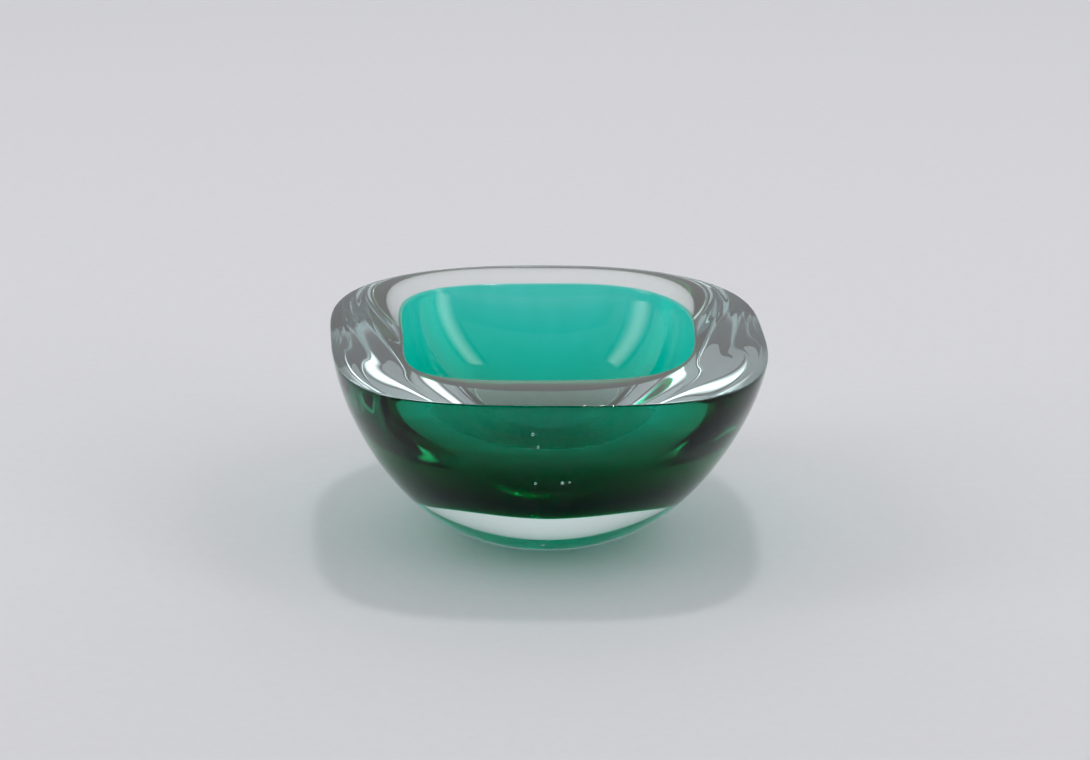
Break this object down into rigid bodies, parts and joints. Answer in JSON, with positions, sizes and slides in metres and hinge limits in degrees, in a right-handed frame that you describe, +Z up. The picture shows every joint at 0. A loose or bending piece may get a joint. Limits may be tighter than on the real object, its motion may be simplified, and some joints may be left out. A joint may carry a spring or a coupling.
{
  "type": "art glass bowl",
  "caption": "Heavy rounded-square art glass bowl: an emerald lining inside a thick clear casing, with a flat-cut rim and a small ground foot.",
  "frame": {"origin": "on the floor under the bowl, at the middle of its outer box", "axes": "+Z up out of the cavity; -Y is the side that faces the viewer, +X is to the viewer's right"},
  "size_m": [0.1244, 0.1266, 0.0588],
  "materials": {
    "clear_glass": "polished",
    "emerald_glass": "polished"
  },
  "bodies": {
    "root": {"clear_casing": "clear_glass", "emerald_layer": "emerald_glass"}
  },
  "joints": []
}
